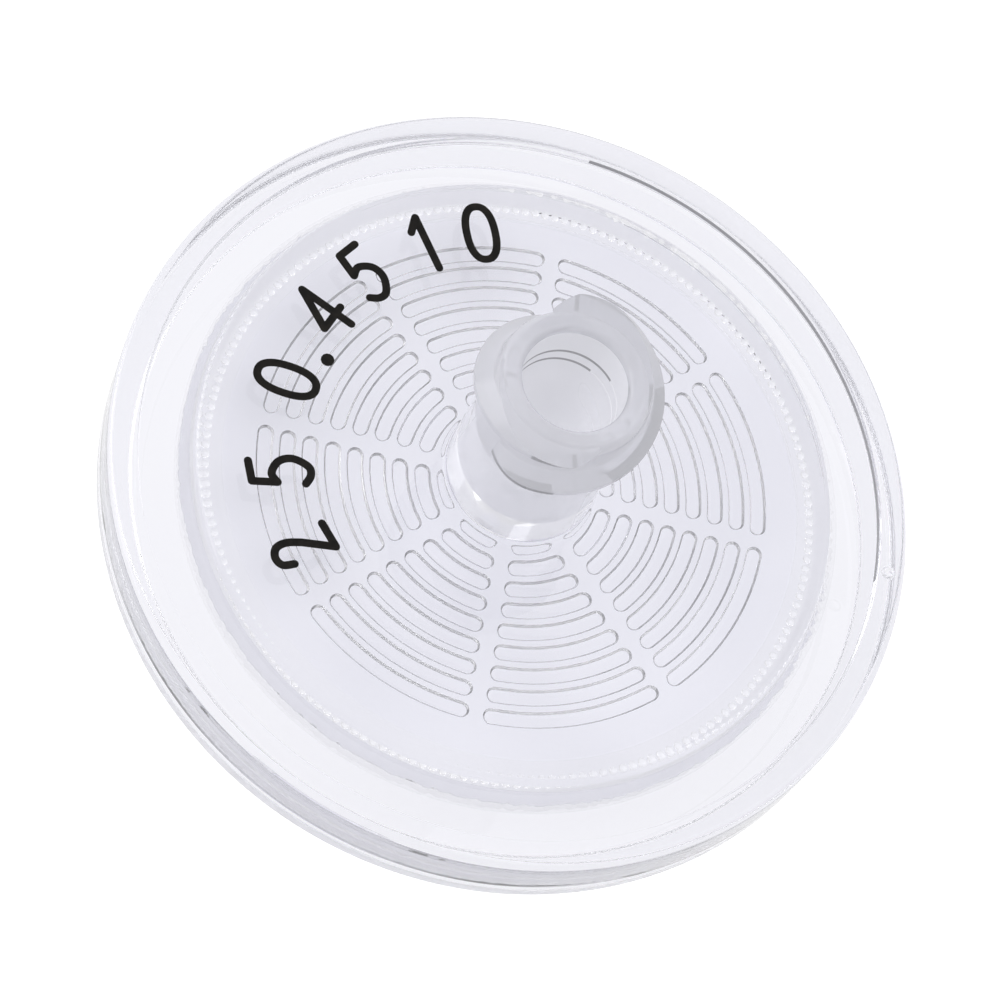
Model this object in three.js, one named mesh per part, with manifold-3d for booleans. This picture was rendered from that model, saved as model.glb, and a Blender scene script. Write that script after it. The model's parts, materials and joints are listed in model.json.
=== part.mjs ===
// Syringe filter of the 25 mm class: two clear moulded housing halves hold a membrane disc between them,
// and a clear ring moulded around their flanges seals them. The inlet is a female luer lock, the outlet
// a male luer slip tip. Millimetres, +Z up. The filter lies as it comes to rest, on its rim and its tip.
import * as THREE from 'three';
import { mergeVertices } from 'three/addons/utils/BufferGeometryUtils.js';
import Module from 'manifold-3d';

const wasm = await Module();
wasm.setup();

// Everything below is measured on the filter's own axis: z is 0 halfway through the membrane, and the
// inlet is on the + side. Angles go round that axis, seen from the inlet, from the filter's own +X.

// Membrane and what holds it
const membraneRadius = 13;
const membraneThickness = 0.2;
const seatGap = 0.06; // left between pieces that touch or are bonded on the real filter
const membraneSideGap = 0.15; // room round the membrane in its recess
const clampWidth = 0.6; // how much of the membrane's edge the halves hold
const beadSetback = 0.25; // from the membrane's edge in to the middle of the inlet's sealing bead
const beadWidth = 0.24;
const beadHeight = 0.15;
const beadDraft = 0.08;

// Housing halves
const chamberDraft = 0.12;
const inletChamberDepth = 0.6;
const inletPlateWall = 1.3;
const outletPlateWall = 1.25;
const plateMargin = 0.5; // from the membrane's edge out to the edge of a plate's raised face
const plateEdgeRound = 0.3;
const flangeWidth = 0.5; // from there out to the edge of the flanges that the ring is moulded around
const inletFlange = 0.6;
const outletFlange = 1.15;

// Ribs on the two inner faces: short arcs in sectors, with radial channels between the sectors
const sectors = 8;
const sectorTurn = THREE.MathUtils.degToRad(17.35); // from +X to a channel
const ribRoot = 0.12; // how deep the ribs are rooted in the plate
const inletRibs = {
  count: 9, // rings of ribs
  first: 2.98, // radius of the innermost ring's middle
  wallGap: 1.9, // from the outermost ring's middle out to the chamber's wall
  crown: 0.5, // width of the flat top
  draft: 0.1, // how far each side leans out down to the foot
  height: 0.45,
  channel: 0.58, // width of the radial channels, at the feet
};
const outletRibs = { count: 6, first: 3, wallGap: 1.1, crown: 0.6, draft: 0.12, height: 0.5, channel: 0.9 };

// Female luer lock on the inlet
const stemHeight = 8.9; // above the plate
const boreMouthRadius = 2.15;
const stemWall = 0.95; // at the mouth
const stemFlare = 0.05; // how much wider the stem's foot is
const stemFillet = 0.25;
const lipRound = 0.4;
const lipChamfer = 0.2;
const luerTaper = 0.03; // a 6 % taper on the diameter
const boreDepth = 8;
const inletPortRadius = 0.75;
const lugHeight = 0.75; // how far the lugs stand out from the stem
const lugLead = 5;
const lugStarts = 2;
const lugLowerFlank = 0.3; // heights of a lug's parts, from its foot up
const lugCrown = 0.3;
const lugUpperFlank = 0.7;
const lugDepthBelowMouth = 3.6;
const lugTopSetback = 0.1;
const lugTurn = THREE.MathUtils.degToRad(197); // from +X to where the first lug begins
const lugLeadIn = THREE.MathUtils.degToRad(35); // the turn in which a lug comes to its full height
const lugLeadInStart = 0.15; // share of that height it begins with
const lugAnchor = 0.4; // how deep a lug is rooted in the stem

// Male luer slip tip on the outlet
const hubLength = 2.8;
const hubRadius = 3.1;
const hubFillet = 0.5;
const hubEdge = 0.25;
const tipLength = 8.5;
const tipEndRadius = 1.98;
const tipEndChamfer = 0.15;
const outletPortRadius = 1.1;

// Sealing ring
const ringWidth = 3; // from the flanges' edge outwards
const ringTopLip = 0.59; // thickness over the inlet's flange
const ringBottomLip = 0.35;
const ringEdgeRound = 0.35;
const rimWidth = 1.3; // the ring's outer part, which is thicker
const rimTopRise = 0.4;
const rimBottomRise = 0.25;
const rimDraft = 0.05;
const gateRadius = 0.3;
const gateSetback = 0.85; // from the ring's edge in to the gate's middle
const gateHeight = 0.12;
const gateTurn = THREE.MathUtils.degToRad(331.5);

// Facets
const rimSegments = 54;
const stemSegments = 32;
const roundSteps = 2;
const leanPasses = 8; // rounds of working out how the filter rests
const ribEndSteps = 3;
const ribChord = 2; // length of a rib's straight stretches

// Radii and heights that follow from the sizes above
const recessRadius = membraneRadius + membraneSideGap;
const chamberRadius = membraneRadius - clampWidth;
const beadRadius = membraneRadius - beadSetback;
const plateRadius = membraneRadius + plateMargin;
const flangeRadius = plateRadius + flangeWidth;
const ringBoreRadius = plateRadius + seatGap;
const ringRadius = flangeRadius + ringWidth;
const rimInnerRadius = ringRadius - rimWidth;
const stemTopRadius = boreMouthRadius + stemWall;
const stemBaseRadius = stemTopRadius + stemFlare;
const lugRadius = stemTopRadius + lugHeight;
const inletLand = membraneThickness / 2 + seatGap + beadHeight;
const outletSeat = -membraneThickness / 2 - seatGap;
const outletLand = inletLand - seatGap;
const inletCeiling = inletLand + inletChamberDepth;
const inletTop = inletCeiling + inletPlateWall;
const mouthTop = inletTop + stemHeight;
const outletFloor = outletSeat - outletRibs.height;
const outletBottom = outletFloor - outletPlateWall;
const tipBottom = outletBottom - hubLength - tipLength;
const inletLedge = inletLand + inletFlange;
const outletLedge = outletLand - outletFlange;
const ringTop = inletLedge + seatGap + ringTopLip;
const ringBottom = outletLedge - seatGap - ringBottomLip;
const rimTop = ringTop + rimTopRise;
const rimBottom = ringBottom - rimBottomRise;

// A round edge in a profile, from one angle to another about its centre, in quarter turns from +r to +z
function roundEdge(radius, centreR, centreZ, from, to) {
  return Array.from({ length: roundSteps + 1 }, (_, step) => {
    const angle = (from + ((to - from) * step) / roundSteps) * (Math.PI / 2);
    return [centreR + radius * Math.cos(angle), centreZ + radius * Math.sin(angle)];
  });
}

// Turns a profile of [radius, height] points round the filter's axis, with a flat side facing -Y
function revolve(profile, segments) {
  const points = profile.map(([radius, height]) => new THREE.Vector2(radius, height));
  return new THREE.LatheGeometry(points, segments, Math.PI / segments).rotateX(Math.PI / 2);
}

// The closed mesh of a geometry as a solid that can be joined and cut
function solidOf(geometry) {
  const bare = geometry.clone();
  bare.deleteAttribute('normal');
  bare.deleteAttribute('uv');
  const merged = mergeVertices(bare, 1e-5);
  const corners = merged.index.array;
  const triangles = [];
  for (let first = 0; first < corners.length; first += 3) {
    const [a, b, c] = corners.slice(first, first + 3);
    if (a !== b && b !== c && c !== a) triangles.push(a, b, c);
  }
  return new wasm.Manifold(
    new wasm.Mesh({
      numProp: 3,
      vertProperties: new Float32Array(merged.attributes.position.array),
      triVerts: new Uint32Array(triangles),
    }),
  );
}

// A finished solid as a named mesh
function meshOf(name, solid, material) {
  const { vertProperties, triVerts } = solid.getMesh();
  const geometry = new THREE.BufferGeometry();
  geometry.setAttribute('position', new THREE.BufferAttribute(vertProperties, 3));
  geometry.setIndex(new THREE.BufferAttribute(triVerts, 1));
  geometry.computeVertexNormals();
  const mesh = new THREE.Mesh(geometry, material);
  mesh.name = name;
  return mesh;
}

// One rib's crown: an arc between two channels, with round ends
function ribCrown({ crown, draft, channel }, radius) {
  const halfCrown = crown / 2;
  const endTurn = Math.asin((channel / 2 + draft + halfCrown) / radius);
  const span = (2 * Math.PI) / sectors - 2 * endTurn;
  const arcSteps = Math.max(2, Math.round((radius * span) / ribChord));
  const along = (steps, place) => Array.from({ length: steps + 1 }, (_, step) => place(step / steps));
  const polar = (distance, angle) => [distance * Math.cos(angle), distance * Math.sin(angle)];
  const end = (angle, lean) => {
    const [x, y] = polar(radius, angle);
    return along(ribEndSteps, (part) => {
      const [dx, dy] = polar(halfCrown, angle + lean + part * Math.PI);
      return [x + dx, y + dy];
    }).slice(1, -1);
  };
  return [
    ...along(arcSteps, (part) => polar(radius + halfCrown, endTurn + part * span)),
    ...end(endTurn + span, 0),
    ...along(arcSteps, (part) => polar(radius - halfCrown, endTurn + (1 - part) * span)),
    ...end(endTurn, Math.PI),
  ];
}

// All the ribs of one inner face as a solid: feet at z 0, crowns up, and roots below in the plate
function ribField(ribs) {
  const pitch = (chamberRadius - ribs.wallGap - ribs.first) / (ribs.count - 1);
  const crowns = [];
  for (let sector = 0; sector < sectors; sector += 1) {
    for (let ring = 0; ring < ribs.count; ring += 1) {
      const outline = ribCrown(ribs, ribs.first + ring * pitch).map(([x, y]) => new THREE.Vector2(x, y));
      const turn = sectorTurn + (sector * 2 * Math.PI) / sectors;
      crowns.push(new THREE.Shape(outline.map((point) => point.rotateAround(new THREE.Vector2(), turn))));
    }
  }
  // The bevel gives each rib its draft: a crown at the top that widens towards the foot
  const geometry = new THREE.ExtrudeGeometry(crowns, {
    depth: ribRoot,
    bevelThickness: ribs.height,
    bevelSize: ribs.draft,
    bevelSegments: 1,
  });
  return solidOf(geometry.translate(0, 0, -ribRoot));
}

// One luer lug: a ridge swept up a right-hand helix past the stem's mouth, and cut off level below it
function luerLug(startTurn) {
  const sweep = (lugDepthBelowMouth / lugLead) * 2 * Math.PI;
  const section = new THREE.Shape([
    new THREE.Vector2(stemTopRadius - lugAnchor, 0),
    new THREE.Vector2(stemTopRadius, 0),
    new THREE.Vector2(lugRadius, lugLowerFlank),
    new THREE.Vector2(lugRadius, lugLowerFlank + lugCrown),
    new THREE.Vector2(stemTopRadius, lugLowerFlank + lugCrown + lugUpperFlank),
    new THREE.Vector2(stemTopRadius - lugAnchor, lugLowerFlank + lugCrown + lugUpperFlank),
  ]);
  const steps = Math.round((stemSegments * sweep) / (2 * Math.PI));
  const geometry = new THREE.ExtrudeGeometry(section, { depth: sweep, steps, bevelEnabled: false });
  const places = geometry.attributes.position;
  for (let index = 0; index < places.count; index += 1) {
    const swept = sweep - places.getZ(index);
    const angle = startTurn + swept;
    const eased = Math.sin((Math.min(1, swept / lugLeadIn) * Math.PI) / 2);
    const raised = Math.max(0, places.getX(index) - stemTopRadius);
    const radius = places.getX(index) - raised * (1 - lugLeadInStart) * (1 - eased);
    const height = mouthTop - lugDepthBelowMouth + places.getY(index) + (lugLead * swept) / (2 * Math.PI);
    places.setXYZ(index, radius * Math.cos(angle), radius * Math.sin(angle), height);
  }
  return solidOf(geometry).trimByPlane([0, 0, -1], lugTopSetback - mouthTop);
}

// Inlet half: plate, flange, ribs facing the membrane, and the stem with its female luer lock
function inletHousing() {
  const plate = revolve(
    [
      [0, inletCeiling],
      [chamberRadius - chamberDraft, inletCeiling],
      [chamberRadius, inletLand],
      [beadRadius - beadWidth / 2 - beadDraft, inletLand],
      [beadRadius - beadWidth / 2, inletLand - beadHeight],
      [beadRadius + beadWidth / 2, inletLand - beadHeight],
      [beadRadius + beadWidth / 2 + beadDraft, inletLand],
      [flangeRadius, inletLand],
      [flangeRadius, inletLedge],
      [plateRadius, inletLedge],
      ...roundEdge(plateEdgeRound, plateRadius - plateEdgeRound, inletTop - plateEdgeRound, 0, 1),
      [0, inletTop],
    ],
    rimSegments,
  );
  const stem = revolve(
    [
      [0, inletTop - inletPlateWall / 2],
      [stemBaseRadius + stemFillet, inletTop - inletPlateWall / 2],
      ...roundEdge(stemFillet, stemBaseRadius + stemFillet, inletTop + stemFillet, -1, -2),
      [stemTopRadius, mouthTop - lipRound],
      ...roundEdge(lipRound, stemTopRadius - lipRound, mouthTop - lipRound, 0, 1).slice(1),
      [0, mouthTop],
    ],
    stemSegments,
  );
  const boreFloor = mouthTop - boreDepth;
  const bore = revolve(
    [
      [0, inletCeiling - inletRibs.height],
      [inletPortRadius, inletCeiling - inletRibs.height],
      [inletPortRadius, boreFloor],
      [boreMouthRadius - luerTaper * boreDepth, boreFloor],
      [boreMouthRadius, mouthTop - lipChamfer],
      [boreMouthRadius + 2 * lipChamfer, mouthTop + lipChamfer],
      [0, mouthTop + lipChamfer],
    ],
    stemSegments,
  );
  const ribs = ribField(inletRibs).rotate([180, 0, 0]).translate([0, 0, inletCeiling]);
  let housing = solidOf(plate).add(solidOf(stem)).add(ribs);
  for (let lug = 0; lug < lugStarts; lug += 1) {
    housing = housing.add(luerLug(lugTurn + (lug * 2 * Math.PI) / lugStarts));
  }
  return housing.subtract(solidOf(bore));
}

// Hub and male luer slip tip, from the tip's end up into the outlet plate
function outletTipProfile() {
  const shoulder = outletBottom - hubLength;
  return [
    [0, tipBottom],
    [tipEndRadius - tipEndChamfer, tipBottom],
    [tipEndRadius, tipBottom + tipEndChamfer],
    [tipEndRadius + luerTaper * tipLength, shoulder],
    [hubRadius - hubEdge, shoulder],
    [hubRadius, shoulder + hubEdge],
    ...roundEdge(hubFillet, hubRadius + hubFillet, outletBottom - hubFillet, 2, 1),
    [hubRadius + hubFillet, outletBottom + outletPlateWall / 2],
    [0, outletBottom + outletPlateWall / 2],
  ];
}

// Outlet half: plate, flange with the membrane's recess, support ribs, hub and male luer slip tip
function outletHousing() {
  const plate = revolve(
    [
      [0, outletBottom],
      ...roundEdge(plateEdgeRound, plateRadius - plateEdgeRound, outletBottom + plateEdgeRound, -1, 0),
      [plateRadius, outletLedge],
      [flangeRadius, outletLedge],
      [flangeRadius, outletLand],
      [recessRadius, outletLand],
      [recessRadius, outletSeat],
      [chamberRadius, outletSeat],
      [chamberRadius - chamberDraft, outletFloor],
      [0, outletFloor],
    ],
    rimSegments,
  );
  const lumen = revolve(
    [
      [0, tipBottom - tipEndChamfer],
      [outletPortRadius, tipBottom - tipEndChamfer],
      [outletPortRadius, outletSeat],
      [0, outletSeat],
    ],
    stemSegments,
  );
  const ribs = ribField(outletRibs).translate([0, 0, outletFloor]);
  const tip = revolve(outletTipProfile(), stemSegments);
  return solidOf(plate).add(solidOf(tip)).add(ribs).subtract(solidOf(lumen));
}

// Membrane: a thin disc that lies on the support ribs
function membraneDisc() {
  const halfThickness = membraneThickness / 2;
  return solidOf(
    revolve(
      [
        [0, -halfThickness],
        [membraneRadius, -halfThickness],
        [membraneRadius, halfThickness],
        [0, halfThickness],
      ],
      rimSegments,
    ),
  );
}

// Section of the sealing ring, which clasps both flanges and is thicker towards its rim
function ringProfile() {
  const edgeCentre = ringRadius - ringEdgeRound;
  return [
    [ringBoreRadius, ringBottom],
    [rimInnerRadius, ringBottom],
    [rimInnerRadius + rimDraft, rimBottom],
    ...roundEdge(ringEdgeRound, edgeCentre, rimBottom + ringEdgeRound, -1, 0),
    ...roundEdge(ringEdgeRound, edgeCentre, rimTop - ringEdgeRound, 0, 1),
    [rimInnerRadius + rimDraft, rimTop],
    [rimInnerRadius, ringTop],
    [ringBoreRadius, ringTop],
    [ringBoreRadius, inletLedge + seatGap],
    [flangeRadius + seatGap, inletLedge + seatGap],
    [flangeRadius + seatGap, outletLedge - seatGap],
    [ringBoreRadius, outletLedge - seatGap],
    [ringBoreRadius, ringBottom],
  ];
}

// Sealing ring, with the stub of its gate on top of the rim
function sealingRing() {
  const gatePlace = ringRadius - gateSetback;
  const gate = new THREE.CylinderGeometry(gateRadius, gateRadius, 2 * gateHeight, stemSegments / 2);
  gate.rotateX(Math.PI / 2);
  gate.translate(gatePlace * Math.cos(gateTurn), gatePlace * Math.sin(gateTurn), rimTop);
  return solidOf(revolve(ringProfile(), rimSegments)).add(solidOf(gate));
}

// How far the axis leans at rest, when the rim's lower edge and the tip's end touch one surface. The lowest
// point of each is looked for again after every pass, because it moves as the filter leans further.
function restingLean() {
  const lowest = (profile, segments, lean) => {
    const flat = Math.cos(Math.PI / segments);
    const depth = ([radius, height]) => height * Math.cos(lean) - radius * flat * Math.sin(lean);
    const [radius, height] = profile.reduce((low, point) => (depth(point) < depth(low) ? point : low));
    return [radius * flat, height];
  };
  let lean = 0;
  for (let pass = 0; pass < leanPasses; pass += 1) {
    const [rimReach, rimHeight] = lowest(ringProfile(), rimSegments, lean);
    const [tipReach, tipHeight] = lowest(outletTipProfile(), stemSegments, lean);
    lean = Math.atan2(rimHeight - tipHeight, rimReach - tipReach);
  }
  return lean;
}

const clearPlastic = (color, roughness) =>
  new THREE.MeshStandardMaterial({ color, roughness, metalness: 0, transparent: true, opacity: 0.4 });

const filter = new THREE.Group();
filter.add(
  meshOf('inlet_housing', inletHousing(), clearPlastic(0xdcdce6, 0.18)),
  meshOf('outlet_housing', outletHousing(), clearPlastic(0xdcdce6, 0.18)),
  meshOf('sealing_ring', sealingRing(), clearPlastic(0xecedf6, 0.06)),
  meshOf('membrane', membraneDisc(), new THREE.MeshStandardMaterial({ color: 0xf2f2f4, roughness: 0.85 })),
);

filter.rotation.x = restingLean();

// The origin is on the surface that the filter rests on, under its middle
const reach = new THREE.Box3().setFromObject(filter, true);
const middle = reach.getCenter(new THREE.Vector3());
filter.position.set(-middle.x, -middle.y, -reach.min.z);

const part = new THREE.Group();
part.add(filter);
export default part;
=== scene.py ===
import json
import math

import bmesh
import bpy
from mathutils import Matrix, Vector, noise
from mathutils.geometry import delaunay_2d_cdt


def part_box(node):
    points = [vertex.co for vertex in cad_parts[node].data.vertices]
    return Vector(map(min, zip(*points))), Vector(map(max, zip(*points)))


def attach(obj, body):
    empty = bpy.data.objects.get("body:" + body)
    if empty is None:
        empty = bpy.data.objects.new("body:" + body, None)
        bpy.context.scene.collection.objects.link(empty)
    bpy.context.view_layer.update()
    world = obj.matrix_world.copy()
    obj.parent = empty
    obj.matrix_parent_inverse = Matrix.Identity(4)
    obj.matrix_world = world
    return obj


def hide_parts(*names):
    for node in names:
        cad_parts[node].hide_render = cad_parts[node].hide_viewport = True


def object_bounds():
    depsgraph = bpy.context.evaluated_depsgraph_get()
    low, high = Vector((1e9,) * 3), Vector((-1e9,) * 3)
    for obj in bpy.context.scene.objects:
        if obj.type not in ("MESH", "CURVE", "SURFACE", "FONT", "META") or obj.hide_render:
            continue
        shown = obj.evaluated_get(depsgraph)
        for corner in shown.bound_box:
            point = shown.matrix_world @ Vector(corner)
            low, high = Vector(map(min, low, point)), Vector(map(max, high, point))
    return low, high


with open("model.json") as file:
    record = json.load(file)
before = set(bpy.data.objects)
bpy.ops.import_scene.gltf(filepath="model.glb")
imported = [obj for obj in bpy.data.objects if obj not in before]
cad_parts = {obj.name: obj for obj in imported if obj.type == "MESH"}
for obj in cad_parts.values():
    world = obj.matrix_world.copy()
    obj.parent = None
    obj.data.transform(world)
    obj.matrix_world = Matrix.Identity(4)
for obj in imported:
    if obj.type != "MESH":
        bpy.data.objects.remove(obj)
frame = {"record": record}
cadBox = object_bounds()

scene = bpy.context.scene
millimetre = 0.001
turn = 2 * math.pi

# The filter's own frame: z runs along its axis towards the inlet and is 0 halfway through the membrane
filterAxis = Vector(frame["record"]["mounts"][0]["axis"]).normalized()
membraneLow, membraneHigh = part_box("membrane")
filterX = Vector((1, 0, 0))
filterPlace = Matrix((filterX, filterAxis.cross(filterX), filterAxis)).transposed().to_4x4()
filterPlace.translation = (membraneLow + membraneHigh) / 2
filterPlace = filterPlace @ Matrix.Scale(millimetre, 4)


# Shapes

mesh = {"around": 480, "cornerSteps": 4, "sharpAngle": 40, "merge": 2e-5, "close": 1e-6}


def polar(radius, angle):
    return radius * math.cos(angle), radius * math.sin(angle)


def rounded(points, steps=mesh["cornerSteps"]):
    # A line of (x, y) or (x, y, radius) points, with an arc at each corner that has a radius
    line = []
    for index, point in enumerate(points):
        corner = Vector(point[:2])
        if len(point) < 3 or index in (0, len(points) - 1):
            line.append(corner)
            continue
        before = (Vector(points[index - 1][:2]) - corner).normalized()
        after = (Vector(points[index + 1][:2]) - corner).normalized()
        half = before.angle(after) / 2
        centre = corner + (before + after).normalized() * (point[2] / math.sin(half))
        start = corner + before * (point[2] / math.tan(half)) - centre
        end = corner + after * (point[2] / math.tan(half)) - centre
        sweep = start.angle_signed(end)
        for step in range(steps + 1):
            line.append(centre + Matrix.Rotation(-sweep * step / steps, 2) @ start)
    return [tuple(point) for point in line]


class Shell:
    # The corners and faces of one piece, in millimetres in the filter's own frame
    def __init__(self):
        self.corners = []
        self.faces = []

    def add(self, corners, faces):
        first = len(self.corners)
        self.corners += corners
        self.faces += [[first + corner for corner in face] for face in faces]

    def spin(self, profile, wave=None):
        # A line of (radius, height) turned round the axis; wave(angle) may add to each radius
        count = mesh["around"]
        corners = []
        for step in range(count):
            angle = turn * step / count
            for radius, height in profile:
                more = wave(angle, radius, height) if wave else 0
                corners.append((*polar(radius + more, angle), height))
        size = len(profile)
        faces = []
        for step in range(count):
            one, two = step * size, (step + 1) % count * size
            for index in range(size - 1):
                faces.append((one + index, two + index, two + index + 1, one + index + 1))
        self.add(corners, faces)

    def terrace(self, hole, edge, height, loops):
        # A level ring with closed loops in it, each ((x, y) points, height), the inner ones within the outer ones
        flat, heights, edges = [], [], []
        rings = [([polar(radius, turn * step / mesh["around"]) for step in range(mesh["around"])], height)
                 for radius in (hole, edge)]
        for points, level in rings + loops:
            first = len(flat)
            flat += [Vector(point) for point in points]
            heights += [level] * len(points)
            edges += [(first + index, first + (index + 1) % len(points)) for index in range(len(points))]
        found, _, triangles, sources, _, _ = delaunay_2d_cdt(flat, edges, [], 0, mesh["close"], True)
        corners = [(point.x, point.y, heights[source[0]]) for point, source in zip(found, sources)]
        inHole = [all(item < mesh["around"] for item in source) for source in sources]
        self.add(corners, [face for face in triangles if not all(inHole[corner] for corner in face)])

    def take(self, source):
        # All the faces of another mesh
        self.add([tuple(vertex.co) for vertex in source.vertices], [list(face.vertices) for face in source.polygons])

    def build(self, name):
        made = bpy.data.meshes.new(name)
        made.from_pydata(self.corners, [], self.faces)
        shape = bmesh.new()
        shape.from_mesh(made)
        bmesh.ops.remove_doubles(shape, verts=shape.verts, dist=mesh["merge"])
        bmesh.ops.recalc_face_normals(shape, faces=shape.faces)
        shape.to_mesh(made)
        shape.free()
        return made


def openEdges(made):
    shape = bmesh.new()
    shape.from_mesh(made)
    count = sum(1 for edge in shape.edges if not edge.is_manifold)
    volume = shape.calc_volume(signed=True)
    shape.free()
    return count, volume


def joinSolids(body, others):
    # The union of closed meshes
    bodyObject = bpy.data.objects.new("joining", body)
    scene.collection.objects.link(bodyObject)
    tools = []
    for other in others:
        tool = bpy.data.objects.new("joined", other)
        scene.collection.objects.link(tool)
        union = bodyObject.modifiers.new("union", "BOOLEAN")
        union.operation = "UNION"
        union.solver = "EXACT"
        union.object = tool
        tools.append(tool)
    result = bpy.data.meshes.new_from_object(bodyObject.evaluated_get(bpy.context.evaluated_depsgraph_get()))
    for used in [bodyObject] + tools:
        old = used.data
        bpy.data.objects.remove(used)
        bpy.data.meshes.remove(old)
    return result


def addPiece(name, shell, material, slot, *nodes):
    # The shell as a smooth-shaded object in its place, which stands for the CAD nodes
    made = shell.build(name)
    gaps, volume = openEdges(made)
    made.transform(filterPlace)
    made.shade_smooth()
    made.set_sharp_from_angle(angle=math.radians(mesh["sharpAngle"]))
    piece = bpy.data.objects.new(name, made)
    scene.collection.objects.link(piece)
    weighted = piece.modifiers.new("weighted", "WEIGHTED_NORMAL")
    weighted.keep_sharp = True
    piece.data = bpy.data.meshes.new_from_object(piece.evaluated_get(bpy.context.evaluated_depsgraph_get()))
    piece.modifiers.clear()
    bpy.data.meshes.remove(made)
    piece.data.name = name
    piece.data.materials.clear()
    piece.data.materials.append(material)
    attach(piece, "root")
    if nodes:
        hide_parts(*nodes)
    print(f"{name}: {len(piece.data.polygons)} faces, {gaps} open edges, {volume:.1f} mm3")
    return piece


def paint(piece, names, choose):
    # Gives each face the plastic that choose(radius, height, upwards, angle) names, in millimetres and degrees
    unplaced = filterPlace.inverted()
    axis = filterPlace.to_3x3().normalized().col[2]
    piece.visible_diffuse = False  # the clear plastic only dims direct light, which keeps the render short
    piece.data.materials.clear()
    for name in names:
        piece.data.materials.append(plastics[name])
    for face in piece.data.polygons:
        middle = unplaced @ face.center
        angle = math.degrees(math.atan2(middle.y, middle.x))
        face.material_index = names.index(choose(middle.xy.length, middle.z, face.normal.dot(axis), angle))


# Shader maths

class Wire:
    # One output of a shader node, which can be used in sums
    def __init__(self, finish, socket):
        self.finish = finish
        self.socket = socket

    def maths(self, operation, *values):
        return self.finish.node("ShaderNodeMath", {"operation": operation}, dict(enumerate(values)))

    def __add__(self, other):
        return self.maths("ADD", self, other)

    def __radd__(self, other):
        return self.maths("ADD", other, self)

    def __mul__(self, other):
        return self.maths("MULTIPLY", self, other)

    def __rmul__(self, other):
        return self.maths("MULTIPLY", other, self)


class Finish:
    # A material or world and the nodes added to it
    def __init__(self, holder):
        holder.use_nodes = True
        self.holder = holder
        self.tree = holder.node_tree
        self.tree.nodes.clear()

    def node(self, kind, settings=None, sockets=None, output=0):
        made = self.tree.nodes.new(kind)
        for name, value in (settings or {}).items():
            if name == "stops":
                ramp = made.color_ramp
                while len(ramp.elements) < len(value):
                    ramp.elements.new(0.5)
                for element, (position, shade) in zip(ramp.elements, value):
                    element.position = position
                    element.color = (*shade, 1)
            else:
                setattr(made, name, value)
        for name, value in (sockets or {}).items():
            if isinstance(value, Wire):
                self.tree.links.new(value.socket, made.inputs[name])
            else:
                made.inputs[name].default_value = value
        return Wire(self, made.outputs[output]) if made.outputs else None

    def mixed(self, factor, first, second):
        return self.node("ShaderNodeMixShader", {}, {0: factor, 1: first, 2: second})


# Camera

view = {"azimuth": -23.351, "elevation": 30.1, "distance": 145.32, "aimRight": -0.331, "aimUp": -0.334, "lens": 126}
azimuth, elevation = math.radians(view["azimuth"]), math.radians(view["elevation"])
rightWay = Vector((math.cos(azimuth), math.sin(azimuth), 0))
lookWay = Vector((
    -math.sin(azimuth) * math.cos(elevation), math.cos(azimuth) * math.cos(elevation), -math.sin(elevation)))
upWay = rightWay.cross(lookWay)
boxMiddle = (Vector(cadBox[0]) + Vector(cadBox[1])) / 2
camera = bpy.data.objects.new("camera", bpy.data.cameras.new("camera"))
camera.data.lens = view["lens"]
camera.data.clip_start = 0.01
scene.collection.objects.link(camera)
camera.matrix_world = Matrix((rightWay, upWay, -lookWay)).transposed().to_4x4()
camera.location = boxMiddle + millimetre * (
    view["aimRight"] * rightWay + view["aimUp"] * upWay - view["distance"] * lookWay)
scene.camera = camera
scene.view_settings.view_transform = "Standard"
print("camera placed")


# Materials

# Roughness runs between two values; clear is the share of light let through
plasticLook = {
    "plate": {"tint": (0.96, 0.96, 0.985), "rough": (0.0, 0.01), "clear": 1.0},
    "stem": {"tint": (0.83, 0.83, 0.88), "rough": (0.04, 0.08), "clear": 0.62},
    "collar": {"tint": (0.64, 0.64, 0.69), "rough": (0.08, 0.13), "clear": 0.45},
    "bore": {"tint": (0.76, 0.76, 0.81), "rough": (0.2, 0.3), "clear": 0.1},
    "shade": {"tint": (0.32, 0.32, 0.34), "rough": (0.2, 0.3), "clear": 0.1},
    "ring": {"tint": (0.945, 0.945, 0.995), "rough": (0.0, 0.01), "clear": 1.0},
    # The rib plastic is a darker copy of the clear plastic: painted dark reflections on the ribs' walls, and the
    # darker band along the plate's edge
    "rib": {"tint": (0.52, 0.52, 0.55), "rough": (0.15, 0.25), "clear": 0.5},
    "haze": {"tint": (0.9, 0.9, 0.95), "rough": (0.3, 0.45), "clear": 0.72},
    "frost": {"tint": (0.82, 0.82, 0.87), "rough": (0.35, 0.5), "clear": 0.55},
    "seam": {"tint": (0.75, 0.75, 0.78), "rough": (0.5, 0.6), "clear": 0.0, "alpha": 0.07},
    "pip": {"tint": (0.92, 0.92, 0.96), "rough": (0.5, 0.6), "clear": 0.3},
}
plasticIor, veilLeast = 1.49, 0.75


def clearPlastic(name):
    look = plasticLook[name]
    finish = Finish(bpy.data.materials.new(name + "Plastic"))
    spot = finish.node("ShaderNodeTexCoord", output=3)
    haze = finish.node("ShaderNodeTexNoise", {}, {"Vector": spot, "Scale": 400, "Detail": 0})
    low, high = look["rough"]
    solid = finish.node("ShaderNodeBsdfPrincipled", {}, {
        "Base Color": (*look["tint"], 1), "Roughness": low + (high - low) * haze, "IOR": plasticIor,
        "Transmission Weight": look["clear"], "Alpha": look.get("alpha", 1.0)})
    veil = [veilLeast + (1 - veilLeast) * share for share in look["tint"]]
    passing = finish.node("ShaderNodeBsdfTransparent", {}, {"Color": (*veil, 1)})
    surface = finish.mixed(finish.node("ShaderNodeLightPath", output="Is Shadow Ray"), solid, passing)
    finish.node("ShaderNodeOutputMaterial", {}, {"Surface": surface})
    return finish.holder


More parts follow.
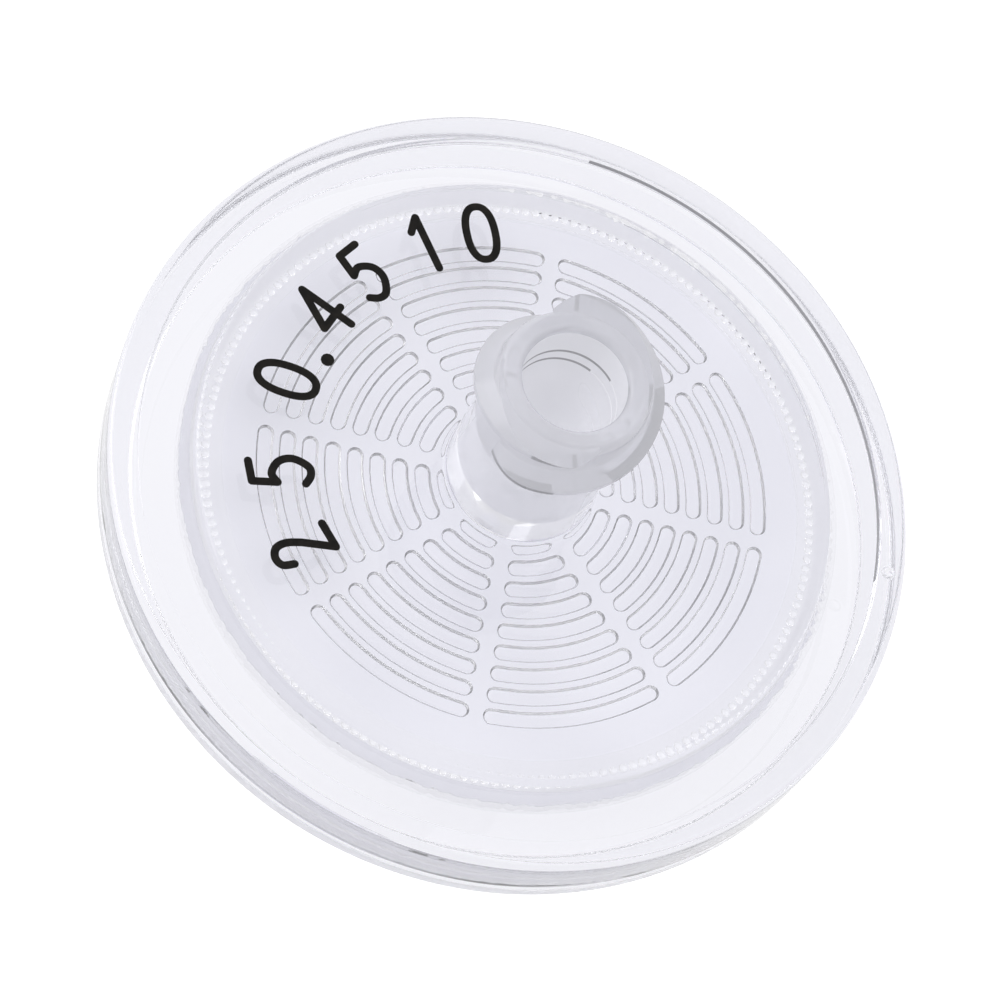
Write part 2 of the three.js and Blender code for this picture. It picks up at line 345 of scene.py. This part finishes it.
filmLook = {
    "grain": 6000, "cloud": 150, "dark": (0.79, 0.79, 0.85), "light": (0.85, 0.85, 0.91), "rough": 0.9,
    "bump": 0.15, "depth": 0.00003,
}
inkLook = {
    "mottle": 3000, "dark": (0.004, 0.0035, 0.003), "light": (0.012, 0.01, 0.008), "rough": 0.6, "gloss": 0.15,
}


def membraneFilm():
    finish = Finish(bpy.data.materials.new("membraneFilm"))
    spot = finish.node("ShaderNodeTexCoord", output=3)
    grain = finish.node("ShaderNodeTexNoise", {}, {"Vector": spot, "Scale": filmLook["grain"], "Detail": 1})
    cloud = finish.node("ShaderNodeTexNoise", {}, {"Vector": spot, "Scale": filmLook["cloud"], "Detail": 1})
    shade = finish.node("ShaderNodeValToRGB", {
        "stops": [(0.3, filmLook["dark"]), (0.7, filmLook["light"])]}, {"Fac": cloud})
    bump = finish.node("ShaderNodeBump", {}, {
        "Height": grain, "Strength": filmLook["bump"], "Distance": filmLook["depth"]})
    film = finish.node("ShaderNodeBsdfPrincipled", {}, {
        "Base Color": shade, "Roughness": filmLook["rough"], "Normal": bump})
    finish.node("ShaderNodeOutputMaterial", {}, {"Surface": film})
    return finish.holder


def printInk():
    finish = Finish(bpy.data.materials.new("printInk"))
    spot = finish.node("ShaderNodeTexCoord", output=3)
    mottle = finish.node("ShaderNodeTexNoise", {}, {"Vector": spot, "Scale": inkLook["mottle"], "Detail": 2})
    shade = finish.node("ShaderNodeValToRGB", {
        "stops": [(0.35, inkLook["dark"]), (0.7, inkLook["light"])]}, {"Fac": mottle})
    ink = finish.node("ShaderNodeBsdfPrincipled", {}, {
        "Base Color": shade, "Roughness": inkLook["rough"], "Specular IOR Level": inkLook["gloss"]})
    finish.node("ShaderNodeOutputMaterial", {}, {"Surface": ink})
    return finish.holder


plastics = {name: clearPlastic(name) for name in plasticLook}
print("materials made")


# Sizes that the pieces share, in millimetres

stack = {
    "membraneRadius": 13, "membraneThickness": 0.2, "seatGap": 0.06, "sideGap": 0.15, "chamberRadius": 12.4,
    "chamberDraft": 0.12, "plateRadius": 13.5, "flangeRadius": 14, "plateEdge": 0.3,
    "inletLand": 0.31, "inletCeiling": 0.91, "inletTop": 2.21, "outletSeat": -0.16, "outletLand": 0.25,
    "outletFloor": -0.66, "outletBottom": -1.91, "inletLedge": 0.91, "outletLedge": -0.9, "corner": 0.05,
}
sectors = {"count": 8, "turn": math.radians(17.35)}
rim = {
    "radius": 16.95, "edge": 0.35, "top": 1.56, "bottom": -1.31, "stepRadius": 15.7, "topRise": 0.4,
    "bottomRise": 0.25, "draft": 0.05, "corner": 0.08, "topCorner": 0.018, "bottomCorner": 0.1,
    "grooveCorner": 0.03, "shadeRise": 0.2, "shadeTurns": (-30, 59), "gateRadius": 0.3, "gateHeight": 0.12,
    "gateSides": 32, "gateTurn": math.radians(331.5), "gatePlace": 16.15,
}
near = 0.02  # how far from a level or a radius a face still counts as on it


def ribLoops(ribs, foot, crown):
    # The outlines of all the ribs of one inner face, from their feet to their crowns
    side = rounded([
        (-ribs["crown"] / 2 + near, crown), (0, crown, ribs["edge"]), (ribs["draft"], foot, ribs["edge"]),
        (ribs["draft"] + ribs["edge"], foot)], 3)
    loops = []
    for sector in range(sectors["count"]):
        start = sectors["turn"] + sector * turn / sectors["count"]
        for index in range(ribs["rings"]):
            radius = ribs["first"] + index * (ribs["last"] - ribs["first"]) / (ribs["rings"] - 1)
            ends = math.asin((ribs["channel"] / 2 + ribs["draft"] + ribs["crown"] / 2) / radius)
            span = turn / sectors["count"] - 2 * ends
            steps = max(3, round(radius * span / ribs["chord"]))
            for grow, height in side:
                half = ribs["crown"] / 2 + grow
                loop = [polar(radius + half, start + ends + span * step / steps) for step in range(steps + 1)]
                loop += ribEnd(radius, half, start + ends + span, 0, ribs["endSteps"])
                loop += [polar(radius - half, start + ends + span * (1 - step / steps)) for step in range(steps + 1)]
                loop += ribEnd(radius, half, start + ends, math.pi, ribs["endSteps"])
                loops.append((loop, height))
    return loops


def ribEnd(radius, half, angle, lean, steps):
    x, y = polar(radius, angle)
    around = [polar(half, angle + lean + math.pi * step / steps) for step in range(1, steps)]
    return [(x + dx, y + dy) for dx, dy in around]


# Inlet half, in millimetres; the turns in pairs are angles in degrees

inlet = {
    "stemBase": 3.15, "stemTop": 3.1, "stemFillet": 0.25, "stemHeight": 8.9, "patchBottom": 7.2, "collarWall": 0.7,
    "lipRound": 0.4, "lipInside": 0.3, "boreMouth": 2.15, "taper": 0.03, "boreDepth": 8, "boreCorner": 0.15,
    "port": 0.75, "reflectionGrooves": ((1.7, 10, 150), (2.35, 35, 155)), "grooveDepth": 0.03, "grooveWidth": 0.16,
    "ceilingRound": 0.15, "ceilingCorner": 0.12, "pips": 186, "pipRadius": 12.86, "pipWidth": 0.36,
    "pipHeight": 0.07, "pipLand": 0.2, "pipSides": 10, "pipSteps": ((1, 0), (0.8, 0.6), (0.4, 1)), "rag": 0.36,
    "ragTurn": math.radians(20), "ragLeast": 0.3, "ragCount": 90,
    "ribs": {"rings": 9, "first": 2.98, "last": 10.5, "crown": 0.54, "draft": 0.07, "channel": 0.58, "edge": 0.02,
             "chord": 0.5, "endSteps": 8},
    "ribHeight": 0.24, "edgeBand": 0.14, "edgeBandTurns": (-12, 50), "level": 0.95,
    "lug": {"radius": 3.85, "lead": 5, "lowerFlank": 0.3, "crown": 0.3, "upperFlank": 0.7, "depth": 3.6,
            "setback": 0.1, "edge": 0.12, "foot": 0.25, "tail": 0.35, "tailOut": 0.1, "tailIn": 0.06,
            "turn": math.radians(197), "anchor": 0.4, "leadIn": math.radians(35), "leadInStart": 0.15,
            "steps": 84, "line": 0.23, "undersideShade": 0.4, "darkTurns": ((-163, -113), (-78, -8)),
            "endTurns": (-137, -108)},
}


def luerLug(start, mouthTop):
    # A ridge swept up a right-hand helix round the stem, cut off level below the mouth
    lug = inlet["lug"]
    inner, crownLow = inlet["stemTop"] - lug["anchor"], lug["lowerFlank"]
    crownHigh = crownLow + lug["crown"]
    top = crownHigh + lug["upperFlank"]
    section = rounded([
        (inner, 0), (inlet["stemTop"], 0), (lug["radius"], crownLow, lug["edge"]),
        (lug["radius"], crownLow + lug["line"]), (lug["radius"], crownHigh, lug["edge"]),
        (inlet["stemTop"] + lug["tailOut"], top - lug["tailOut"], lug["foot"]),
        (inlet["stemTop"] - lug["tailIn"], top + lug["tail"]), (inner, top + lug["tail"])], 5)
    sweep = lug["depth"] / lug["lead"] * turn
    shell = Shell()
    corners = []
    bottom = mouthTop - lug["depth"]
    for step in range(lug["steps"] + 1):
        swept = sweep * step / lug["steps"]
        eased = math.sin(min(1, swept / lug["leadIn"]) * math.pi / 2)
        for radius, height in section:
            out = radius - max(0, radius - inlet["stemTop"]) * (1 - lug["leadInStart"]) * (1 - eased)
            corners.append((*polar(out, start + swept), bottom + height + lug["lead"] * swept / turn))
    size = len(section)
    faces = [tuple(range(size)), tuple(range(len(corners) - size, len(corners)))]
    for one in range(0, lug["steps"] * size, size):
        for index in range(size):
            after = (index + 1) % size
            faces.append((one + index, one + after, one + size + after, one + size + index))
    shell.add(corners, faces)
    made = shell.build("lug")
    shape = bmesh.new()
    shape.from_mesh(made)
    cut = bmesh.ops.bisect_plane(
        shape, geom=shape.verts[:] + shape.edges[:] + shape.faces[:],
        plane_co=(0, 0, mouthTop - lug["setback"]), plane_no=(0, 0, 1), clear_outer=True)
    bmesh.ops.contextual_create(
        shape, geom=[item for item in cut["geom_cut"] if isinstance(item, bmesh.types.BMEdge)])
    bmesh.ops.recalc_face_normals(shape, faces=shape.faces)
    shape.to_mesh(made)
    shape.free()
    return made


def luerCollar(mouthTop):
    # The stem's outside from patchBottom up to the mouth, with both lugs joined to it
    lip = inlet["lipRound"]
    inner = inlet["stemTop"] - inlet["collarWall"]
    outside = [(inner, inlet["patchBottom"]), (stemRadius(inlet["patchBottom"], mouthTop), inlet["patchBottom"])]
    outside += rounded([
        (inlet["stemTop"], mouthTop - 1.1 * lip), (inlet["stemTop"], mouthTop, lip), (inner, mouthTop),
        (inner, inlet["patchBottom"])], 6)
    tube = Shell()
    tube.spin(outside)
    joined = joinSolids(tube.build("tube"), [luerLug(inlet["lug"]["turn"] + half, mouthTop) for half in (0, math.pi)])
    collar = Shell()
    collar.take(joined)
    bpy.data.meshes.remove(joined)
    kept = []
    for face in collar.faces:
        middle = sum((Vector(collar.corners[corner]) for corner in face), Vector()) / len(face)
        if middle.xy.length > inner + 0.01 and inlet["patchBottom"] + 1e-4 < middle.z < mouthTop - 1e-4:
            kept.append(face)
    collar.faces = kept
    return collar


def stemRadius(height, mouthTop):
    foot, top = stack["inletTop"] + inlet["stemFillet"], mouthTop - inlet["lipRound"]
    return inlet["stemBase"] + (inlet["stemTop"] - inlet["stemBase"]) * (height - foot) / (top - foot)


def ragged(angle, radius, height):
    # The flanges' edge is uneven where the ring has melted it
    if radius < stack["flangeRadius"] - 0.1:
        return 0
    x, y = polar(inlet["ragCount"], angle)
    share = inlet["ragLeast"] + (1 - inlet["ragLeast"]) * max(0, math.cos(angle - inlet["ragTurn"]))
    return -inlet["rag"] * share * (0.5 + noise.noise((x, y, 0.3)))


def pipLoops(level):
    # A ring of small round pips that grip the membrane's edge
    loops = []
    for index in range(inlet["pips"]):
        x, y = polar(inlet["pipRadius"], turn * (index + 0.5) / inlet["pips"])
        for share, drop in inlet["pipSteps"]:
            circle = [polar(share * inlet["pipWidth"] / 2, turn * step / inlet["pipSides"])
                      for step in range(inlet["pipSides"])]
            loops.append(([(x + dx, y + dy) for dx, dy in circle], level - drop * inlet["pipHeight"]))
    return loops


def inletShell():
    shell = Shell()
    mouthTop = stack["inletTop"] + inlet["stemHeight"]
    boreFloor = mouthTop - inlet["boreDepth"]
    land, ceiling, top = stack["inletLand"], stack["inletCeiling"], stack["inletTop"]
    chamberTop, pipInside = stack["chamberRadius"] - stack["chamberDraft"], inlet["pipRadius"] - inlet["pipLand"]
    pipOutside, corner = inlet["pipRadius"] + inlet["pipLand"], stack["corner"]
    shell.terrace(inlet["port"], chamberTop - inlet["ceilingRound"], ceiling,
                  ribLoops(inlet["ribs"], ceiling, ceiling - inlet["ribHeight"]))
    shell.spin(rounded([
        (chamberTop - inlet["ceilingRound"], ceiling), (chamberTop, ceiling, inlet["ceilingCorner"]),
        (stack["chamberRadius"], land, corner), (pipInside, land)]))
    shell.terrace(pipInside, pipOutside, land, pipLoops(land))
    shell.spin(rounded([
        (pipOutside, land), (stack["flangeRadius"], land, corner),
        (stack["flangeRadius"], stack["inletLedge"], corner), (stack["plateRadius"], stack["inletLedge"]),
        (stack["plateRadius"], stack["inletLedge"] + inlet["edgeBand"]),
        (stack["plateRadius"], top, stack["plateEdge"]),
        (stemRadius(top, mouthTop), top, inlet["stemFillet"]),
        (stemRadius(inlet["patchBottom"], mouthTop), inlet["patchBottom"])]), ragged)
    collar = luerCollar(mouthTop)
    shell.add(collar.corners, collar.faces)
    # Two shallow grooves in the bore wall, which carry painted dark reflections
    reflectionGrooves = []
    for depth, _, _ in inlet["reflectionGrooves"]:
        for out, down in ((0, 0), (1, 0.2), (1, 0.8), (0, 1)):
            below = depth + down * inlet["grooveWidth"]
            wall = inlet["boreMouth"] - inlet["taper"] * below
            reflectionGrooves.append((wall + out * inlet["grooveDepth"], mouthTop - below))
    shell.spin(rounded([
        (inlet["stemTop"] - inlet["lipRound"], mouthTop), (inlet["boreMouth"], mouthTop, inlet["lipInside"]),
        *reflectionGrooves,
        (inlet["boreMouth"] - inlet["taper"] * inlet["boreDepth"], boreFloor, inlet["boreCorner"]),
        (inlet["port"], boreFloor, corner), (inlet["port"], ceiling)]))
    return shell


def inletFinish(radius, height, upwards, angle):
    # The name of the finish at one place of the inlet half
    mouthTop = stack["inletTop"] + inlet["stemHeight"]
    if radius < inlet["boreMouth"] - near and height > mouthTop - inlet["boreDepth"] - near:
        # Painted reflection: the bore's two grooves are painted dark over part of the way round, for the dark
        # crescents mirrored in the bore
        for depth, first, last in inlet["reflectionGrooves"]:
            if 0 < mouthTop - height - depth < inlet["grooveWidth"] and first < angle < last and radius > 1.8:
                return "shade"
        return "bore"
    lug = inlet["lug"]
    # Painted shade: the outer part of the lugs' undersides is painted dark
    if radius > lug["radius"] - lug["undersideShade"] and height > inlet["patchBottom"] and upwards < -0.4:
        return "shade"
    # climb is the height above the lower lug's foot; the lugs' edges are painted dark where they would mirror a dark
    # studio, a painted reflection
    climb = height - mouthTop + lug["depth"] - lug["lead"] * ((angle - math.degrees(lug["turn"])) % 180) / 360
    dark = any(first < angle < last for first, last in lug["darkTurns"])
    if dark and radius > inlet["stemTop"] + 0.08 and 0 < climb < lug["lowerFlank"] + lug["line"]:
        return "shade"
    # Painted reflection: the lugs' ends under the lip are painted dark over these turns, for the dark internal
    # reflection between the lugs
    if (lug["endTurns"][0] < angle < lug["endTurns"][1] and radius > inlet["stemTop"] + 0.3
            and climb > lug["lead"] / 2 and height < mouthTop - 0.12):
        return "shade"
    if height > stack["inletTop"] + inlet["stemFillet"]:
        return "collar" if height > inlet["patchBottom"] else "stem"
    # Darker along the lowest part of the plate's edge, over a range of turns
    bandRise = height - stack["inletLedge"]
    first, last = inlet["edgeBandTurns"]
    if abs(radius - stack["plateRadius"]) < 0.1 and near < bandRise < inlet["edgeBand"] and first < angle < last:
        return "rib"
    if radius > stack["plateRadius"] - near and stack["inletLand"] + near < height < rim["top"]:
        return "seam"
    if abs(radius - inlet["pipRadius"]) < 0.6 * inlet["pipWidth"] and height < stack["inletLand"] - 0.002:
        return "pip"
    if radius > inlet["pipRadius"] + 0.1 and height < stack["inletLand"] + 0.03:
        return "frost"
    if radius > stack["chamberRadius"] - 0.2 and height < stack["inletCeiling"] - 0.01:
        return "seam"
    # Painted reflection: the ribs' walls take the darker rib plastic, for the thin dark lines they show by internal
    # reflection
    if height < stack["inletCeiling"] - 0.01 and radius > inlet["port"] + 0.1 and abs(upwards) < inlet["level"]:
        return "rib"
    return "plate"


inletHalf = addPiece("inletHalf", inletShell(), plastics["plate"], "housing", "inlet_housing")
paint(inletHalf, ("plate", "stem", "collar", "bore", "shade", "seam", "pip", "frost", "rib"), inletFinish)


# Outlet half

outlet = {
    "hubLength": 2.8, "hubRadius": 3.1, "hubFillet": 0.5, "hubEdge": 0.25, "tipLength": 8.45, "tipEnd": 1.98,
    "tipChamfer": 0.15, "port": 1.1, "ribHeight": 0.5, "seatCorner": 0.04, "shoulderCorner": 0.1,
    "ribs": {"rings": 6, "first": 3, "last": 11.3, "crown": 0.6, "draft": 0.12, "channel": 0.9, "edge": 0.06,
             "chord": 0.7, "endSteps": 8},
}


def outletShell():
    shell = Shell()
    floor, bottom, seat, land = stack["outletFloor"], stack["outletBottom"], stack["outletSeat"], stack["outletLand"]
    shoulder = bottom - outlet["hubLength"]
    tipBottom = shoulder - outlet["tipLength"]
    tipTop = outlet["tipEnd"] + inlet["taper"] * outlet["tipLength"]
    shell.terrace(outlet["port"], stack["chamberRadius"] - stack["chamberDraft"], floor,
                  ribLoops(outlet["ribs"], floor, floor + outlet["ribHeight"]))
    recess, corner = stack["membraneRadius"] + stack["sideGap"], stack["corner"]
    shell.spin(rounded([
        (stack["chamberRadius"] - stack["chamberDraft"], floor), (stack["chamberRadius"], seat, outlet["seatCorner"]),
        (recess, seat), (recess, land, outlet["seatCorner"]), (stack["flangeRadius"], land, corner),
        (stack["flangeRadius"], stack["outletLedge"], corner), (stack["plateRadius"], stack["outletLedge"]),
        (stack["plateRadius"], bottom, stack["plateEdge"]), (outlet["hubRadius"], bottom, outlet["hubFillet"]),
        (outlet["hubRadius"], shoulder, outlet["hubEdge"]), 
        (tipTop, shoulder, outlet["shoulderCorner"]), (outlet["tipEnd"], tipBottom, outlet["tipChamfer"]),
        (outlet["port"], tipBottom, corner),
        (outlet["port"], floor)]), ragged)
    return shell


def outletFinish(radius, height, upwards, angle):
    if radius > stack["plateRadius"] - near and rim["bottom"] < height < stack["outletLand"] - near:
        return "seam"
    if radius > stack["membraneRadius"] and abs(height - stack["outletLand"]) < 0.03:
        return "frost"
    return "plate"


outletHalf = addPiece("outletHalf", outletShell(), plastics["plate"], "housing", "outlet_housing")
paint(outletHalf, ("plate", "seam", "frost"), outletFinish)


# Membrane

def membraneShell():
    shell = Shell()
    half, corner = stack["membraneThickness"] / 2, stack["corner"]
    radius = stack["membraneRadius"]
    rings = [radius * step / 8 for step in range(8)]
    shell.spin([(ring, -half) for ring in rings] + rounded([
        (rings[-1], -half), (radius, -half, corner), (radius, half, corner), (rings[-1], half)])[1:] + [
            (ring, half) for ring in reversed(rings[:-1])])
    return shell


membraneDisc = addPiece("membraneDisc", membraneShell(), membraneFilm(), "membrane", "membrane")


# Sealing ring

def ringShell():
    shell = Shell()
    bore = stack["plateRadius"] + stack["seatGap"]
    groove = stack["flangeRadius"] + stack["seatGap"]
    ledgeTop, ledgeBottom = stack["inletLedge"] + stack["seatGap"], stack["outletLedge"] - stack["seatGap"]
    top, bottom = rim["top"] + rim["topRise"], rim["bottom"] - rim["bottomRise"]
    step, edge = rim["stepRadius"], rim["edge"]
    corner, grooveCorner = rim["corner"], rim["grooveCorner"]
    inner, outer = step + rim["draft"] + near, rim["radius"] - edge - near / 2
    shell.spin(rounded([
        (outer, top), (rim["radius"], top, edge), (rim["radius"], bottom, edge),
        (step + rim["draft"], bottom, rim["bottomCorner"]), (step, rim["bottom"], corner),
        (bore, rim["bottom"], corner), (bore, ledgeBottom, grooveCorner), (groove, ledgeBottom, grooveCorner),
        (groove, ledgeTop, grooveCorner), (bore, ledgeTop, grooveCorner), (bore, rim["top"], corner),
        (step, rim["top"], corner), (step + rim["draft"] / 2, rim["top"] + rim["shadeRise"]),
        (step + rim["draft"], top, rim["topCorner"]), (inner, top)]))
    x, y = polar(rim["gatePlace"], rim["gateTurn"])
    gateTop = top + rim["gateHeight"]
    gate = rounded([(-0.2, gateTop), (0, gateTop, stack["corner"]), (near, top, stack["corner"]), (0.1, top)], 3)
    loops = []
    for grow, height in gate:
        circle = [polar(rim["gateRadius"] - 0.06 + grow, turn * index / rim["gateSides"])
                  for index in range(rim["gateSides"])]
        loops.append(([(x + dx, y + dy) for dx, dy in circle], height))
    shell.terrace(inner, outer, top, loops)
    return shell


def ringFinish(radius, height, upwards, angle):
    if radius < stack["flangeRadius"] + 0.1 and rim["bottom"] + near < height < rim["top"] - near:
        return "seam"
    first, last = rim["shadeTurns"]
    rise = height - rim["top"]
    if abs(radius - rim["stepRadius"]) < 0.06 and near < rise < rim["shadeRise"] and first < angle < last:
        return "shade"
    if height < rim["bottom"] - 0.15 and upwards < -0.9:
        return "haze"
    return "ring"


sealRing = addPiece("sealRing", ringShell(), plastics["ring"], "ring", "sealing_ring")
paint(sealRing, ("ring", "shade", "haze", "seam"), ringFinish)


# Print on the inlet plate

marks = {
    "line": 0.34, "dot": 0.29, "thickness": 0.012, "lift": 0.005, "height": 2.5, "width": 1.25, "corners": 6,
    "loopSteps": 40, "loopSquareness": 0.85,
    "middle": (0.64, 0.36), "baseline": 9.35,
    "places": [("2", 188), ("5", 170), ("0", 147.5), (".", 138.5), ("4", 128), ("5", 113.5), ("1", 97), ("0", 83)],
}
# The middle lines of the numerals, in widths and heights; a curve goes smoothly through its points
numerals = {
    "0": [("loop", [])],
    "1": [("line", [(0.25, 0.76), (0.62, 1), (0.6, 0)])],
    "2": [("curve", [(0.02, 0.76), (0.12, 0.95), (0.42, 1.01), (0.72, 0.93), (0.78, 0.74), (0.62, 0.5)]),
          ("line", [(0.62, 0.5), (0.08, 0.0), (0.98, 0.04)])],
    "4": [("line", [(0.74, 0), (0.72, 1), (0.02, 0.3), (1.02, 0.32)])],
    "5": [("line", [(0.92, 1.0), (0.2, 0.98), (0.12, 0.56)]),
          ("curve", [(0.12, 0.56), (0.45, 0.64), (0.85, 0.5), (0.92, 0.26), (0.62, 0.02), (0.3, 0.0), (0.02, 0.1)])],
    ".": [("dot", [])],
}


def smooth(points, steps=6):
    # A curve through all the points
    ends = [points[0]] + points + [points[-1]]
    line = []
    for index in range(len(points) - 1):
        one, two, three, four = (Vector(point) for point in ends[index:index + 4])
        for step in range(steps):
            part = step / steps
            line.append(0.5 * (2 * two + (three - one) * part + (2 * one - 5 * two + 4 * three - four) * part ** 2
                               + (3 * two - one - 3 * three + four) * part ** 3))
    return [tuple(point) for point in line] + [points[-1]]


def strokesOf(numeral):
    # The straight strokes of a numeral, each a pair of points in millimetres
    strokes = []
    for kind, points in numerals[numeral]:
        if kind == "dot":
            return [((0.5 * marks["width"], 0), (0.5 * marks["width"], 1e-3))]
        if kind == "loop":
            points = []
            for step in range(marks["loopSteps"] + 1):
                away, up = polar(1, turn * step / marks["loopSteps"])
                points.append((0.5 + math.copysign(abs(away) ** marks["loopSquareness"], away) / 2,
                               0.5 + math.copysign(abs(up) ** marks["loopSquareness"], up) / 2))
        elif kind == "curve":
            points = smooth(points)
        points = [(x * marks["width"], y * marks["height"]) for x, y in points]
        strokes += zip(points, points[1:])
    return strokes


def markShell():
    shell = Shell()
    low = stack["inletTop"] + marks["lift"]
    for numeral, degrees in marks["places"]:
        angle = math.radians(degrees)
        outWay, alongWay = Vector(polar(1, angle)), Vector(polar(1, angle - math.pi / 2))
        start = Vector(marks["middle"]) + outWay * marks["baseline"] - alongWay * marks["width"] / 2
        half = marks["dot"] if numeral == "." else marks["line"] / 2
        flat, outlines = [], []
        for one, two in strokesOf(numeral):
            one, two = Vector(one), Vector(two)
            lean = math.atan2(two.y - one.y, two.x - one.x)
            first = len(flat)
            for middle, side in ((one, math.pi / 2), (two, -math.pi / 2)):
                for step in range(marks["corners"] + 1):
                    place = middle + Vector(polar(half, lean + side + math.pi * step / marks["corners"]))
                    flat.append(start + alongWay * place.x + outWay * place.y)
            outlines.append(list(range(first, len(flat))))
        found, _, triangles, _, _, within = delaunay_2d_cdt(flat, [], outlines, 0, mesh["close"], True)
        kept = [list(face) for face, sources in zip(triangles, within) if sources]
        count = len(found)
        sides = [(corner, face[(index + 1) % 3]) for face in kept for index, corner in enumerate(face)]
        paired = set(sides)
        outline = [(one, two) for one, two in sides if (two, one) not in paired]
        corners = [(point.x, point.y, low + level) for level in (marks["thickness"], 0) for point in found]
        faces = kept + [[corner + count for corner in reversed(face)] for face in kept]
        faces += [[one, one + count, two + count, two] for one, two in outline]
        shell.add(corners, faces)
    return shell


numbersPrint = addPiece("numbersPrint", markShell(), printInk(), "housing")


# Floor and light

floorLook = {"shade": 0.8, "glow": 0.42, "passedShade": 0.22, "passedGlow": 0.73}


def floorPaint():
    # Plain, lit for the camera, and darker where it is seen through or mirrored in the plastic
    finish = Finish(bpy.data.materials.new("floorPaint"))
    seen = finish.node("ShaderNodeLightPath", output="Is Camera Ray")
    through = finish.node("ShaderNodeLightPath", output="Is Transmission Ray")
    glossy = finish.node("ShaderNodeLightPath", output="Is Glossy Ray")
    matt, lit = [], []
    for shade, strength in (("shade", "glow"), ("passedShade", "passedGlow")):
        matt.append(finish.node("ShaderNodeBsdfDiffuse", {}, {"Color": (*[floorLook[shade]] * 3, 1)}))
        glow = finish.node("ShaderNodeEmission", {}, {"Color": (1, 1, 1, 1), "Strength": floorLook[strength]})
        lit.append(finish.node("ShaderNodeAddShader", {}, {0: matt[-1], 1: glow}))
    surface = finish.mixed(through + glossy, finish.mixed(seen, matt[0], lit[0]), lit[1])
    finish.node("ShaderNodeOutputMaterial", {}, {"Surface": surface})
    return finish.holder


floorLow = min(cadBox[0][2], 0)
floorMesh = bpy.data.meshes.new("floor")
floorMesh.from_pydata([(x, y, floorLow) for x, y in ((-1, -1), (1, -1), (1, 1), (-1, 1))], [], [(0, 1, 2, 3)])
floor = bpy.data.objects.new("floor", floorMesh)
scene.collection.objects.link(floor)
floorMesh.materials.append(floorPaint())

skyLook = {"stops": [(0.0, (0.82, 0.82, 0.82)), (0.35, (0.8, 0.8, 0.8)), (0.85, (1, 1, 1))], "strength": 1.0}
world = bpy.data.worlds.new("studio")
scene.world = world
sky = Finish(world)
upwards = sky.node("ShaderNodeSeparateXYZ", {}, {0: sky.node("ShaderNodeTexCoord", output="Generated")}, output="Z")
glow = sky.node("ShaderNodeValToRGB", {"stops": skyLook["stops"]}, {"Fac": upwards})
soft = sky.node("ShaderNodeBackground", {}, {"Color": glow, "Strength": skyLook["strength"]})
sky.node("ShaderNodeOutputWorld", {}, {"Surface": soft})

lamps = {
    "key": {"size": 0.5, "power": 0.95, "place": (-0.45, 0.15, 0.45)},
    "fill": {"size": 0.5, "power": 0.4, "place": (0.4, -0.5, 0.5)},
}
for name, lamp in lamps.items():
    light = bpy.data.lights.new(name, "AREA")
    light.size = lamp["size"]
    light.energy = lamp["power"]
    holder = bpy.data.objects.new(name, light)
    holder.location = lamp["place"]
    holder.rotation_euler = (boxMiddle - Vector(lamp["place"])).to_track_quat("-Z", "Y").to_euler()
    scene.collection.objects.link(holder)
print("lights placed")
